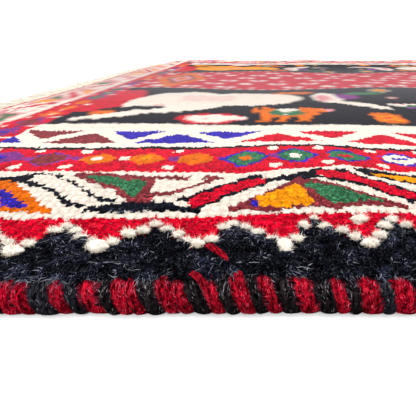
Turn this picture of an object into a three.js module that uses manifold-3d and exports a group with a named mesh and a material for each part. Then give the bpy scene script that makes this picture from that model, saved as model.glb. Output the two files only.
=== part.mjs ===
// A small hand-knotted tribal rug that lies flat: woven body with its pile, overcast long sides, flat-woven end
// strips with their fringe. Millimetres, +X along the warps, +Y across, +Z up, underside at z = 0.
import * as THREE from "three";
import { mergeVertices } from "three/addons/utils/BufferGeometryUtils.js";
import Module from "manifold-3d";

// Knots: the spacing along the warps and across them, and how many there are each way
const KNOT_LENGTH = 3.3;
const KNOT_WIDTH = 3.5;
const KNOTS_LONG = 364;
const KNOTS_ACROSS = 224;
const BODY_LENGTH = KNOT_LENGTH * KNOTS_LONG;
const BODY_WIDTH = KNOT_WIDTH * KNOTS_ACROSS;

// The left end runs out of square: the far long side starts this much further in than the near one
const LEFT_SKEW = 26;

// Woven body: full thickness, and how far the pile's rim is rounded down at the ends
const BODY_THICKNESS = 10;
const RIM_DROP = 1.6;
const RIM_WIDTH = 4;
const LONG_STEPS = 46;
const CROSS_STEPS = 18;

// Low swells of the pile's face, each a pattern of crests: its height, a crest's place and its spread each way
const SWELLS = [
  { height: 1.3, crestX: -368, crestY: -340, spreadX: 40, spreadY: 75 },
  { height: 0.4, crestX: 120, crestY: 90, spreadX: 90, spreadY: 60 },
];

// How the long sides wander, as a hand-woven edge does: height, spread and start of each wave
const WANDERS = [
  { height: 0.9, spread: 97, start: 0 },
  { height: 0.6, spread: 41, start: 1.3 },
];

// Selvedge: outer warps bound with thick yarn, half round outside and flat against the body
const SELVEDGE_WIDTH = 7;
const SELVEDGE_HEIGHT = 9.6;
const SELVEDGE_WAVE = 0.5;
const SELVEDGE_SIDES = 12;

// End strip: plain weave beyond the last knots, and the warp ends left over as fringe
const STRIP_WIDTH = 11;
const STRIP_THICKNESS = 3;
const LOCKS_AN_END = 112;
const LOCK_LENGTH = 42;
const LOCK_SPREAD = 5;
const LOCK_WIDTH = 3.6;
const LOCK_TIP_WIDTH = 2.4;
const LOCK_THICKNESS = 2.2;
const LOCK_THINNING = 0.35;
const LOCK_STEPS = 3;
const LOCK_SWAY = 1.3;
const LOCK_ROOT = 1.5;

// Clearance between neighbouring solids
const GAP = 0.3;

const wasm = await Module();
wasm.setup();

// A steady uneven value from -1 to 1 for each piece of a row
function uneven(index, kind) {
  return Math.sin(index * 2.399 + kind * 1.7) * Math.cos(index * 0.731 + kind * 4.1);
}

// How far out the long sides wander at x
function sideWander(x) {
  return WANDERS.reduce((sum, w) => sum + w.height * Math.sin(x / w.spread + w.start), 0);
}

// X of the left end at the share v of the way from the near long side to the far one
function leftEnd(v) {
  return -BODY_LENGTH / 2 + LEFT_SKEW * v;
}

// Plan of the body: u runs along the warps and v across them, both from 0 to 1
function plan(u, v) {
  const x = THREE.MathUtils.lerp(leftEnd(v), BODY_LENGTH / 2, u);
  const y = (v - 0.5) * BODY_WIDTH + (2 * v - 1) * sideWander(x);
  return new THREE.Vector2(x, y);
}

// How far the pile's face stands above its middle height
function swell(x, y) {
  const at = (s) => s.height * Math.cos((x - s.crestX) / s.spreadX) * Math.cos((y - s.crestY) / s.spreadY);
  return SWELLS.reduce((sum, s) => sum + at(s), 0);
}

// A geometry with every vertex moved by a function and its shared vertices merged
function bent(geometry, move) {
  geometry.deleteAttribute("normal");
  geometry.deleteAttribute("uv");
  const merged = mergeVertices(geometry, 1e-5);
  const points = merged.getAttribute("position");
  const point = new THREE.Vector3();
  for (let i = 0; i < points.count; i++) {
    point.fromBufferAttribute(points, i);
    const moved = move(point);
    points.setXYZ(i, moved.x, moved.y, moved.z);
  }
  return merged;
}

// A closed geometry as a solid that can be joined, and back
function solidOf(geometry) {
  const numbers = new Uint32Array(geometry.index.array);
  const places = new Float32Array(geometry.getAttribute("position").array);
  return new wasm.Manifold(new wasm.Mesh({ numProp: 3, vertProperties: places, triVerts: numbers }));
}

function geometryOf(solid) {
  const mesh = solid.getMesh();
  return new THREE.BufferGeometry()
    .setAttribute("position", new THREE.BufferAttribute(new Float32Array(mesh.vertProperties), 3))
    .setIndex(new THREE.BufferAttribute(new Uint32Array(mesh.triVerts), 1));
}

function woolen(name, geometry, color) {
  const drawn = geometry.toNonIndexed();
  drawn.computeVertexNormals();
  const mesh = new THREE.Mesh(drawn, new THREE.MeshStandardMaterial({ color, roughness: 0.95, metalness: 0 }));
  mesh.name = name;
  return mesh;
}

// Evenly spaced steps with one more, close to each end, where the rim rounds down
function stepped(share, steps, length) {
  const step = Math.round((share + 0.5) * steps);
  if (step === 0) return 0;
  if (step === steps) return 1;
  const rim = RIM_WIDTH / length;
  return rim + ((1 - 2 * rim) * (step - 1)) / (steps - 2);
}

// Woven body with its pile: flat below, swelling above, rounded down along its rim
function body() {
  const block = new THREE.BoxGeometry(1, 1, 1, LONG_STEPS, CROSS_STEPS, 1);
  return bent(block, (p) => {
    const u = stepped(p.x, LONG_STEPS, BODY_LENGTH);
    const v = stepped(p.y, CROSS_STEPS, BODY_WIDTH);
    const place = plan(u, v);
    const atEnd = u === 0 || u === 1;
    const top = BODY_THICKNESS + swell(place.x, place.y) - (atEnd ? RIM_DROP : 0);
    return new THREE.Vector3(place.x, place.y, p.z < 0 ? 0 : top);
  });
}

// Selvedge of one long side, 0 for the near one and 1 for the far one
function selvedge(side) {
  const outward = 2 * side - 1;
  const bar = new THREE.CylinderGeometry(1, 1, 1, SELVEDGE_SIDES, LONG_STEPS);
  bar.rotateZ(Math.PI / 2);
  return bent(bar, (p) => {
    const u = stepped(p.x, LONG_STEPS, BODY_LENGTH);
    const edge = plan(u, side);
    const out = Math.max(0, p.y * outward);
    const wave = SELVEDGE_WAVE * uneven(Math.round(u * LONG_STEPS), side);
    const y = edge.y + outward * (GAP + out * (SELVEDGE_WIDTH + wave));
    const z = ((p.z + 1) / 2) * (SELVEDGE_HEIGHT + wave);
    return new THREE.Vector3(edge.x, y, z);
  });
}

// One lock of warp ends that lies on the floor: four sides, tapering, its length across the strip's edge
function lock(number, end, root) {
  const length = LOCK_LENGTH + LOCK_SPREAD * uneven(number, end + 2);
  const lean = LOCK_SWAY * uneven(number, end + 5);
  const curl = LOCK_SWAY * uneven(number, end + 9);
  const block = new THREE.BoxGeometry(1, 1, 1, LOCK_STEPS, 1, 1);
  return bent(block, (p) => {
    const along = p.x + 0.5;
    const width = THREE.MathUtils.lerp(LOCK_WIDTH, LOCK_TIP_WIDTH, along);
    const x = root.x + end * (along * (length + LOCK_ROOT) - LOCK_ROOT);
    const y = root.y + p.y * width * end + lean * along + curl * Math.sin(along * Math.PI);
    const z = (p.z + 0.5) * LOCK_THICKNESS * (1 - LOCK_THINNING * along * along);
    return new THREE.Vector3(x, y, z);
  });
}

// Flat-woven strip and fringe of one end: -1 for the left end, 1 for the right one
function endStrip(end) {
  const reach = 0.5 + SELVEDGE_WIDTH / BODY_WIDTH;
  const edgeAt = (share) => plan(end < 0 ? 0 : 1, THREE.MathUtils.clamp(0.5 + share, 0, 1));
  const place = (share, out) => {
    const edge = edgeAt(share);
    const past = share * BODY_WIDTH - THREE.MathUtils.clamp(share, -0.5, 0.5) * BODY_WIDTH;
    return new THREE.Vector2(edge.x + end * (GAP + out), edge.y + past);
  };
  const block = new THREE.BoxGeometry(1, 1, 1, 1, CROSS_STEPS, 1);
  let strip = solidOf(
    bent(block, (p) => {
      const spot = place(2 * reach * p.y * end, (p.x + 0.5) * STRIP_WIDTH);
      return new THREE.Vector3(spot.x, spot.y, (p.z + 0.5) * STRIP_THICKNESS);
    }),
  );
  const lockReach = reach - LOCK_WIDTH / BODY_WIDTH;
  for (let i = 0; i < LOCKS_AN_END; i++) {
    const share = lockReach * ((2 * i + 1) / LOCKS_AN_END - 1);
    strip = strip.add(solidOf(lock(i, end, place(share, STRIP_WIDTH))));
  }
  return geometryOf(strip);
}

const CRIMSON = 0xb50c2c;
const RASPBERRY = 0x8c1a33;
const IVORY = 0xe6dcc6;

const rug = new THREE.Group();
rug.add(woolen("rug_body", body(), CRIMSON));
rug.add(woolen("selvedge_near", selvedge(0), RASPBERRY));
rug.add(woolen("selvedge_far", selvedge(1), RASPBERRY));
rug.add(woolen("fringe_left", endStrip(-1), IVORY));
rug.add(woolen("fringe_right", endStrip(1), IVORY));

// The rug stands with the middle of its outline over the origin
const outline = new THREE.Box3().setFromObject(rug);
rug.position.set(-(outline.min.x + outline.max.x) / 2, -(outline.min.y + outline.max.y) / 2, 0);

export default rug;
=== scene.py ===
# A small hand-knotted tribal rug on a pale floor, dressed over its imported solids. Metres, +X along the warps,
# +Y across the rug, +Z up out of the pile.
import math
import bpy
import numpy as np
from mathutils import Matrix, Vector


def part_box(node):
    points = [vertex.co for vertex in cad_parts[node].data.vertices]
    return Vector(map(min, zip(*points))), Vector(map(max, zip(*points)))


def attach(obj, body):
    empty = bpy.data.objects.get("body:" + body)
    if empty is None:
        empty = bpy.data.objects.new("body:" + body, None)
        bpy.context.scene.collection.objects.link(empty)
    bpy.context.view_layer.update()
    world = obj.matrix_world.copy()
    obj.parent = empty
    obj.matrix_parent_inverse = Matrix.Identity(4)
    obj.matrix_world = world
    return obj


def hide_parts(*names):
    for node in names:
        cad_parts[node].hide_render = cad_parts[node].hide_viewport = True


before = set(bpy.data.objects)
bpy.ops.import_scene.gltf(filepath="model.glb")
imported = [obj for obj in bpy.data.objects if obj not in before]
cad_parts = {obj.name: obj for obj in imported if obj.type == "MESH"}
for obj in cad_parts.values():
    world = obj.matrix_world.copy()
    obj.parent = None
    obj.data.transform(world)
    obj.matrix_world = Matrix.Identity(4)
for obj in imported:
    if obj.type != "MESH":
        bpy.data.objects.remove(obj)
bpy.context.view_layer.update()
bpy.ops.object.select_all(action="DESELECT")


# FOUNDATION
# Ivory wool warps with the wefts and the backs of the knots between them, so the pattern is read on the
# underside too, one small node to each knot. Woven in one piece on the loom and lying flat on the floor.
KNOT_LENGTH = 0.0033
KNOT_WIDTH = 0.0035
KNOTS_LONG = 364
KNOTS_ACROSS = 224
LEFT_SKEW = 0.026
CLOTH_THICKNESS = 0.0025
HALF_LONG = KNOT_LENGTH * KNOTS_LONG / 2
HALF_ACROSS = KNOTS_ACROSS * KNOT_WIDTH / 2
MIDDLE_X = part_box("rug_body")[0].x + HALF_LONG

# How the long sides wander, as a hand-woven edge does: height, spread and start of each wave
SIDE_WAVES = ((0.0009, 0.097, 0.0), (0.0006, 0.041, 1.3))


def on_cloth(along, across):
    """Place on the floor of a spot given in knots from the left end and from the near long side."""
    share = across / KNOTS_ACROSS
    left = LEFT_SKEW * share - HALF_LONG
    x = left + (HALF_LONG - left) * along / KNOTS_LONG
    wander = sum(height * np.sin(x / spread + start) for height, spread, start in SIDE_WAVES)
    y = (2 * share - 1) * (HALF_ACROSS + wander)
    return x + MIDDLE_X, y


dice = np.random.default_rng(11)
LUMPS = 128
LATTICE = dice.uniform(-1, 1, (LUMPS, LUMPS))


def uneven(u, v):
    """A smooth uneven value from -1 to 1, one lump to each unit of u and of v."""
    i, j = np.floor(u).astype(int), np.floor(v).astype(int)
    f, g = u - i, v - j
    f, g = f * f * (3 - 2 * f), g * g * (3 - 2 * g)
    line = lambda k: LATTICE[k % LUMPS, i % LUMPS] * (1 - f) + LATTICE[k % LUMPS, (i + 1) % LUMPS] * f
    return line(j) * (1 - g) + line(j + 1) * g


# Yarns of the pile by their letter in the charts: ivory, black, crimson, maroon, blue, orange, amber, green,
# pink and plum
YARNS = {
    "I": (0.560, 0.495, 0.430),
    "K": (0.0028, 0.0033, 0.0066),
    "C": (0.405, 0.0010, 0.0140),
    "M": (0.152, 0.020, 0.025),
    "B": (0.022, 0.013, 0.255),
    "O": (0.500, 0.100, 0.0010),
    "A": (0.610, 0.218, 0.0005),
    "G": (0.025, 0.108, 0.048),
    "P": (0.500, 0.200, 0.210),
    "V": (0.150, 0.020, 0.150),
}
LETTERS = "".join(YARNS)
DYES = np.array(list(YARNS.values()))
IVORY, BLACK, CRIMSON = (LETTERS.index(letter) for letter in "IKC")

column, row = np.meshgrid(np.arange(KNOTS_LONG), np.arange(KNOTS_ACROSS))
from_side = np.minimum(row, KNOTS_ACROSS - 1 - row)
from_end = np.minimum(column, KNOTS_LONG - 1 - column)
chart = np.full(column.shape, BLACK)

# Where the bands of the border begin, in knots from a long side, and at the ends
RIBBON_IN, LOZENGES_IN, LINE_IN, FANGS_IN, FIELD_IN = 7, 17, 25, 27, 39
END_RIBBON_IN, END_LOZENGES_IN, END_FIELD_IN = 2, 13, 21


def knot(where, yarn):
    chart[where] = LETTERS.index(yarn)


def oval(yarn, centre, half, lean=0.0):
    u = (column + 0.5 - centre[0]) / half[0]
    v = (row + 0.5 - centre[1] - lean * (column + 0.5 - centre[0])) / half[1]
    knot(u * u + v * v < 1, yarn)


def motif(lines, left, bottom, flip=False, turn=False):
    """Knots a small chart with its lowest line on the bottom row; a dot leaves the ground."""
    lines = lines.split()
    if not turn:
        lines = lines[::-1]
    for up, line in enumerate(lines):
        for along, letter in enumerate(line[::-1] if flip else line):
            if letter != ".":
                chart[bottom + up, left + along] = LETTERS.index(letter)


# Field: a crimson middle between two black panels, with a crimson notch in each end of the panels
MIDDLE_FROM = 86
knot(from_side >= MIDDLE_FROM, "C")
knot((from_side >= 50) & (from_side < 80) & (from_end < 33 - 0.3 * np.abs(from_side - 61)), "C")
knot((from_side == MIDDLE_FROM) & (column % 4 < 2), "I")

ROSE = """
...CC...
.CPIIPC.
CPIIIIPC
.CIPPIC.
CPIIIIPC
.CC..CC.
"""
SPRIG = """
.PP..PP.
PIIPPIIP
PIPVPIIP
.PIPPPP.
..PPPP..
"""
BUD = """
.P.
PIP
.P.
"""
STAR = """
...I...
.I.A.I.
..AAA..
IAACAAI
..AAA..
.I.A.I.
...I...
"""
# Small flowers strewn over the middle, then a stepped medallion at its centre and a smaller one near each end
for line in range(6):
    for unit in range(28):
        flower = (ROSE, SPRIG, SPRIG, BUD, SPRIG)[(unit + 2 * line) % 5]
        left, bottom = 24 + 12 * unit - 5 * (line % 2), MIDDLE_FROM + 2 + 8 * line
        motif(flower, left, bottom, unit % 2 == 0, line > 2)
for centre, wide, rings in ((182, 0.62, "PICOM"), (32, 2.5, "OOMPO"), (332, 2.5, "OOMPO")):
    away = np.abs(column + 0.5 - centre) * wide + np.abs(row + 0.5 - KNOTS_ACROSS / 2)
    stepped = np.floor(away / 2) * 2
    for ring, letter in enumerate(rings):
        knot(stepped < 26 - 5 * ring, letter)

GOAT = """
..O..........O.....
O.OO.......OOOO....
O.OOO.IIII.OOOOOO..
O.OOOIIIIIIOOOOOPPP
OOOOOGIIIIGOOOOOOPP
OOOOGGGIIGGOOOOOOP.
O.OOGGGGGGGGOOO....
..OOGGGGGGGGOOO....
..OOOGGIGGGOOOO....
..OOOOGGGGOOOO.....
..OOOOOOOOOOO......
..OOO.OO..OOO......
..OO..OO..OO.......
..OO..O...OO.......
.OOO.OO..OOO.......
"""
FLOWER = """
....CCCCCCC....
..CCCPIIIPCCC..
.CCIIIIIIIIIIC.
CCIIIIIIIIIIIII
CCPIIIIIIIIIIIP
CCIIIIPIIIIIIP.
.CCIIIIIIIIPC..
..CCPIIIIPCC...
...CCCCCCCC....
"""
EGG = """
.OOOO.
OOOOOO
OAOOAO
OOAAOO
OACCAO
OOAAOO
OAOOAO
OOOOOO
.OOOO.
"""
COMB = """
I.P.I.P.I
IIIPIIIII
.IIIGGGG.
..GGGGG..
...VVV...
"""
LEAF = """
..G..
.GAG.
GGAGG
.GAG.
..O..
"""


# A large bird with a low tail and a small one before it: yarn of each part, with a dot for the large bird's
# own, its middle and half size in knots, and its slope
BIRDS = (
    ("O", -9, 2, 3, 1.8, 0),
    (".", -4, 0.5, 9.5, 2.5, 0.5),
    (".", 6, 16.5, 14, 14, 0.2),
    (".", 22, 21, 17, 10, 0.12),
    ("K", -4, 6.5, 8, 2.2, 0.15),
    ("O", 37.5, 32, 6.5, 2.2, 0),
    ("I", 46, 23, 4, 8, 0),
    ("P", 45, 22, 2.2, 5, 0),
    ("I", 51.5, 13, 7, 2.6, -0.9),
    ("V", 52, 24, 3.5, 4.5, 0),
    ("G", 58, 28, 6, 2.2, 0),
)


def birds(left, bottom, own, flip, turn):
    """Both birds, and the hatched wing of the large one."""
    way, up = (-1 if flip else 1), (-1 if turn else 1)
    lean = way * up
    for yarn, c, r, long, tall, slope in BIRDS:
        oval(own if yarn == "." else yarn, (left + way * c, bottom + up * r), (long, tall), slope * lean)
    c, r = left + way * 12, bottom + up * 20.5
    wing = (np.abs(column - c) < 8) & (np.abs(row - r - 0.1 * lean * (column - c)) < 4.2)
    knot(wing & ((column + row) % 3 == 0), "P")


# Birds, beasts and flowers of the black panels, turned about on the far side of the middle
PANEL_FROM = 37
PANEL_PITCH = 82
PANEL_WIDTH = 66
BIRDS_ROW = 47
PANEL = ((GOAT, 25, 42), (FLOWER, 9, 40), (EGG, 51, 41), (COMB, 59, 55), (STAR, 61, 76), (BUD, 62, 66),
         (LEAF, 61, 43), (BUD, 0, 56))
for unit in range(4):
    for far in (False, True):
        left, flip = PANEL_FROM + PANEL_PITCH * unit, unit % 2 == 1
        low = KNOTS_ACROSS - BIRDS_ROW if far else BIRDS_ROW
        birds(left + (60 if flip else 0), low, "A" if (unit + far) % 2 else "I", flip, far)
        for lines, along, up in PANEL:
            tall, wide = len(lines.split()), len(lines.split()[0])
            start = left + (PANEL_WIDTH - along - wide if flip else along)
            motif(lines, start, KNOTS_ACROSS - up - tall if far else up, flip, far)


def turned(letters, where, yarns, unit):
    """Sets a place in one yarn for each unit of a repeat, the yarns in turn."""
    turns = np.array([LETTERS.index(letter) for letter in yarns])
    letters[where] = turns[unit[where] % len(yarns)]


# One repeat of the ribbon border: the yarns of a shape by turns, then its stretches as places along from the
# foot of the ribbon, each with its lower and upper edge in knots over the border's outer line
RIBBON_START = 56
RIBBON_REPEAT = 35
RIBBON = (
    # Level stretch below, after the ribbon's fall
    ("K", "24.6 1.3 1.8, 27 0.9 2.2, 29 1.3 2.9, 32.6 1.0 2.6, 34 1.2 1.9, 36.3 0.6 1.9"),
    # Level stretch above, after its climb
    ("K", "8 6.9 7.9, 9 7.4 7.9, 10 7.1 8.1, 12 7.2 8.5, 14.4 7.6 9.3, 15.3 9.0 9.6"),
    # Climbing ribbon between its dark outlines
    ("K", "-1.6 3.0 3.4, 0 3.3 4.3, 2 5.2 5.9, 4 6.8 7.5, 5.5 7.8 8.6, 7.6 8.4 8.9"),
    ("K", "1.3 1.7 2.3, 2.5 2.9 3.6, 4 4.2 5.2, 5 5.1 5.9, 7 6.0 6.9, 8.3 6.9 7.9"),
    ("CCAC", "-0.4 2.5 3.5, 0.5 1.8 4.2, 1.5 2.4 5.0, 4 5.0 6.9, 6 5.9 8.0, 7.9 7.3 8.1"),
    # Falling ribbon between its outlines
    ("K", "14.5 8.8 9.3, 17.5 8.1 8.7, 20 6.5 7.1, 23 4.3 4.9, 25 3.0 3.5, 27.2 2.7 3.2"),
    ("K", "13.5 7.4 7.8, 16 6.2 6.7, 19 4.9 5.4, 21.3 2.9 3.5, 24 1.5 2.0"),
    ("CICI", "14.3 7.8 9.1, 16 6.7 8.8, 19 5.4 7.5, 21.3 3.5 5.8, 24 2.2 3.8, 25.5 2.6 2.9"),
    # Pair of triangles in the bay below: outlines, the two inner yarns, a dot at the left corner
    ("MMMO", "3.6 0.9 1.3, 6 1.0 2.9, 8 0.3 4.6, 10 1.1 6.0, 11.6 1.4 7.5, 12.5 1.4 7.0, 13.2 1.2 6.9, "
             "14.3 0.5 6.0, 16 1.2 5.1, 18.5 1.2 3.1, 21.4 0.7 1.2"),
    ("AGOB", "6.7 3.0 3.6, 7 1.8 3.8, 9 1.0 4.8, 11 1.8 6.0, 11.6 1.3 5.5, 12.5 2.4 2.8"),
    ("GBAO", "12.3 5.2 6.2, 13.2 3.6 6.3, 14 1.6 5.4, 16 1.7 4.6, 17 1.9 3.5, 19.5 1.8 2.2"),
    ("GBAB", "12.6 4.6 5.6, 14 3.6 4.9, 15 2.4 4.3, 16 1.9 3.5, 17 1.9 2.9, 17.8 2.1 2.4"),
    ("BOAM", "6 1.9 2.8, 7.1 1.6 2.8"),
    # Pair in the bay above: outlines of the left one, its inner yarn, thin lines round the white one
    ("KMMM", "19 8.8 9.2, 20.7 8.2 9.5, 22.5 7.0 9.4, 25 6.1 8.9, 27 4.1 8.7, 28.4 3.1 8.6, 29 2.9 8.5, "
             "29.6 2.9 8.4, 30.2 2.9 5.0, 30.8 3.4 4.4"),
    ("ABOG", "21 8.4 8.8, 22 7.8 8.8, 23 7.2 8.6, 25 6.6 8.3, 27 5.2 7.8, 28.4 3.7 7.7, 29.1 4.3 7.2"),
    ("MMKM", "29.6 8.4 8.8, 31 8.3 8.7, 33.5 8.3 8.9, 34 8.6 8.7"),
    ("MMKM", "35.5 8.4 8.6, 36 8.4 8.9, 37.7 8.5 8.9"),
    ("MMKM", "30.6 4.1 4.6, 32.8 4.7 5.2, 34.5 5.9 6.2, 36.6 7.5 8.3, 37.4 8.2 8.7"),
)


def zigzag_ribbon(along, inward):
    """Main border: a ribbon climbs, runs level, falls and runs level again, with triangles in its bays."""
    letters = np.full(along.shape, IVORY)
    for yarns, stretches in RIBBON:
        place, low, high = np.array([stretch.split() for stretch in stretches.split(",")], float).T
        for unit in range(-2, 9):
            step = along - RIBBON_START - RIBBON_REPEAT * unit
            yarn = yarns[unit % len(yarns)]
            spread = 0.16 if yarn in "KM" else 0.03
            hit = (step > place[0]) & (step < place[-1]) & (inward < np.interp(step, place, high) + spread)
            letters[hit & (inward > np.interp(step, place, low) - spread)] = LETTERS.index(yarn)
    return letters


LOZENGE = 7


def lozenges(along, inward, turn=0):
    """Small lozenges on crimson, with white dots by turns over and under the gaps between them."""
    letters = np.full(along.shape, CRIMSON)
    across = (along - 2) % LOZENGE - LOZENGE / 2
    unit = np.floor((along - 2) / LOZENGE).astype(int) + turn
    ring = (np.abs(across / 3.3) ** 1.3 + np.abs((inward - 4.3) / 2.5) ** 1.3) ** (1 / 1.3)
    for reach, yarns in ((1.0, "BBBVVCCCB"), (0.83, "GGIVMOOOG"), (0.30, "ICBBMIAOO")):
        turned(letters, ring < reach, yarns, unit)
    gap = np.floor((along + 1) / LOZENGE).astype(int) + turn
    side = (along + 1) % LOZENGE - LOZENGE / 2
    dot = lambda height: (side / 0.85) ** 2 + ((inward - height) / 0.75) ** 2 < 1
    turned(letters, dot(7.1) | dot(1.4), "IIIIIICIC", gap)
    turned(letters, dot(4.3), "VCCVVVIVB", gap)
    return letters


FANG = 15.4


def fangs(along, inward):
    """Triangles that point in and out by turns, with a broad white zigzag between them."""
    letters = np.full(along.shape, IVORY)
    place = np.interp(along, (0, 50, 67, 84.5, 120, KNOTS_LONG), (0, 50.3, 65.5, 81, 119, KNOTS_LONG))
    inner, outer = (place - 26.8) / FANG, (place - 19.1) / FANG
    low, high = np.abs(inner % 1 - 0.5) * FANG, np.abs(outer % 1 - 0.5) * FANG
    pointing_in = (low < 6.3 - 1.15 * (inward - 0.6)) & (inward > 0.6)
    pointing_out = (high < 5.2 - 1.1 * (7.2 - inward)) & (inward < 7.2)
    turned(letters, pointing_in, "MBCCGMCB", np.floor(inner).astype(int))
    turned(letters, pointing_out, "MBBCCGMC", np.floor(outer).astype(int))
    return letters


def inward_of(across):
    """How far in a spot lies from the nearer long side."""
    return np.minimum(across, KNOTS_ACROSS - across)


def border_letters(along, across):
    """Letters of the side borders at any place between the teeth and the field, in knots."""
    inward = inward_of(across)
    letters = np.full(along.shape, IVORY)
    for band, low, deep in ((zigzag_ribbon, RIBBON_IN, 10), (lozenges, LOZENGES_IN, 8), (fangs, FANGS_IN, 9)):
        place = (inward >= low) & (inward < low + deep)
        letters[place] = band(along[place], inward[place] - low)
    letters[(inward >= LINE_IN) & (inward < LINE_IN + 0.8)] = BLACK
    return letters


# Borders from the field outwards: fangs, lozenges and the ribbon, the last two round the ends too
at = np.stack([column + 0.5, row + 0.5])
by_end = from_end >= END_LOZENGES_IN
in_side = (from_side < FIELD_IN) & (from_end >= END_FIELD_IN) | (from_side < LINE_IN) & by_end
in_side &= from_side >= RIBBON_IN
chart[in_side] = border_letters(at[0][in_side], at[1][in_side])
in_end = by_end & (from_end < END_FIELD_IN) & (from_side >= LOZENGES_IN)
chart[in_end] = lozenges(at[1][in_end], from_end[in_end] + 0.5 - END_LOZENGES_IN, 8)
chart[(from_end >= END_RIBBON_IN) & ~by_end & (from_side >= RIBBON_IN)] = IVORY
in_end = (from_end > END_RIBBON_IN) & (from_end < END_LOZENGES_IN - 1) & (from_side >= LOZENGES_IN)
chart[in_end] = zigzag_ribbon(at[1][in_end] + 2.0, from_end[in_end] + 0.5 - END_RIBBON_IN)
for side_yarn, end_yarn in ("KM", "BP", "MP", "OA"):
    knot(in_end & (chart == LETTERS.index(side_yarn)), end_yarn)
corner = (from_end >= 3) & (from_end < 11) & (from_side >= 8) & (from_side < 16)
spot = np.abs(from_end - 6.5) + np.abs(from_side - 11.5)
knot(corner & (spot < 4.5), "M")
knot(corner & (spot < 3.1), "G")
knot((from_end < END_RIBBON_IN) | (from_side < RIBBON_IN), "C")

# Teeth: the columns of their feet, 7 or 8 knots apart, the white knots' rows over each step of a tooth, and
# one more white knot over a foot, in the crimson
TOOTH_PITCH = 7.27
feet = np.floor(np.arange(KNOTS_LONG // 7 + 2) * TOOTH_PITCH - 1).astype(int)
TEETH = {7: (1, 2, 4, 5, 4, 3, 2), 8: (1, 2, 3, 4, 5, 4, 3, 2)}
edge = np.concatenate([TEETH[gap] for gap in np.diff(feet)])[1:KNOTS_LONG + 1]
knot(from_side < edge, "K")
knot(from_side == edge, "I")
LONE_COLUMN, LONE_ROW = 71, 5
knot((column == LONE_COLUMN) & (row == LONE_ROW), "I")


def knot_at(along, across):
    """Row and column in the chart of the knot under a spot."""
    i = np.clip(np.floor(along).astype(int), 0, KNOTS_LONG - 1)
    j = np.clip(np.floor(across).astype(int), 0, KNOTS_ACROSS - 1)
    return j, i


bpy.ops.mesh.primitive_grid_add(x_subdivisions=KNOTS_LONG, y_subdivisions=KNOTS_ACROSS, size=1)
foundation = bpy.context.object
foundation.name = foundation.data.name = "foundation"
places = np.zeros(len(foundation.data.vertices) * 3)
foundation.data.vertices.foreach_get("co", places)
places = places.reshape(-1, 3)
cloth_u, cloth_v = (places[:, 0] + 0.5) * KNOTS_LONG, (places[:, 1] + 0.5) * KNOTS_ACROSS
places[:, 0], places[:, 1] = on_cloth(cloth_u, cloth_v)
places[:, 2] = 0.0002 + 0.0002 * uneven(cloth_u * 0.4, cloth_v * 0.4)
foundation.data.vertices.foreach_set("co", places.ravel())
back = foundation.data.uv_layers.active
back.name = "OFBake"
spots = np.zeros(len(foundation.data.loops) * 2)
back.data.foreach_get("uv", spots)
spots = spots.reshape(-1, 4, 2).mean(axis=1)
rows, columns = knot_at(spots[:, 0] * KNOTS_LONG, spots[:, 1] * KNOTS_ACROSS)
knot_dyes = np.ones((len(rows), 4, 4), np.float32)
knot_dyes[:, :, :3] = DYES[chart[rows, columns]][:, None, :]
shown = foundation.data.color_attributes.new(name="yarn", type="FLOAT_COLOR", domain="CORNER")
shown.data.foreach_set("color", knot_dyes.ravel())
bpy.ops.object.mode_set(mode="EDIT")
bpy.ops.mesh.select_all(action="DESELECT")
bpy.ops.mesh.select_mode(type="EDGE")
bpy.ops.mesh.select_non_manifold()
bpy.ops.mesh.extrude_region_move(TRANSFORM_OT_translate={"value": (0, 0, CLOTH_THICKNESS)})
bpy.ops.mesh.edge_face_add()
bpy.ops.mesh.select_all(action="SELECT")
bpy.ops.mesh.normals_make_consistent(inside=False)
bpy.ops.object.mode_set(mode="OBJECT")
bpy.ops.object.select_all(action="DESELECT")


class Dyed:
    """A socket of a material. Sums on it add Math nodes, and add() puts in any other node."""

    def __init__(self, tree, socket=None):
        self.tree, self.socket = tree, socket

    def add(self, kind, settings=(), sockets=(), result=0):
        node = self.tree.nodes.new("ShaderNode" + kind)
        for name, value in dict(settings).items():
            setattr(node, name, value)
        for name, value in dict(sockets).items():
            if isinstance(value, Dyed):
                self.tree.links.new(value.socket, node.inputs[name])
            else:
                node.inputs[name].default_value = value
        return Dyed(self.tree, node.outputs[result])

    def sum(self, operation, first, second=0.0):
        return self.add("Math", {"operation": operation}, {0: first, 1: second})

    def __add__(self, other):
        return self.sum("ADD", self, other)

    def __sub__(self, other):
        return self.sum("SUBTRACT", self, other)

    def __rsub__(self, other):
        return self.sum("SUBTRACT", other, self)

    def __mul__(self, other):
        return self.sum("MULTIPLY", self, other)

    __radd__ = __add__
    __rmul__ = __mul__

    def mixed(self, share, other, blend="MIX"):
        sockets = {0: share, 6: self, 7: other}
        return self.add("Mix", {"data_type": "RGBA", "blend_type": blend}, sockets, 2)


def wool_material(name, finish):
    """A matte wool material; finish takes its start and gives its colour, roughness and normal."""
    material = bpy.data.materials.new(name)
    material.use_nodes = True
    tree = material.node_tree
    shader = tree.nodes["Principled BSDF"]
    shader.inputs["Specular IOR Level"].default_value = 0.004
    shader.inputs["Sheen Weight"].default_value = 0.004
    shader.inputs["Sheen Roughness"].default_value = 0.3
    start = Dyed(tree)
    for socket, value in zip(("Base Color", "Roughness", "Normal"), finish(start)):
        tree.links.new(value.socket, shader.inputs[socket])
    return material


def dye(start, *tone):
    """The yarn's own dye, or that dye times a tone."""
    plain = start.add("Attribute", {"attribute_name": "yarn"})
    return plain.mixed(1.0, (*tone, 1), "MULTIPLY") if tone else plain


def place_on(start):
    """The place on the rug, in metres."""
    return start.add("TexCoord", {}, {}, 3)


def part(start, place, number):
    """One number of a place: 0 along the rug, 1 across it, 2 up."""
    return start.add("SeparateXYZ", {}, {0: place}, number)


def speckle(start, place, scale, detail=2.0):
    return start.add("TexNoise", {}, {"Vector": place, "Scale": scale, "Detail": detail, "Roughness": 0.6})


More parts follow.
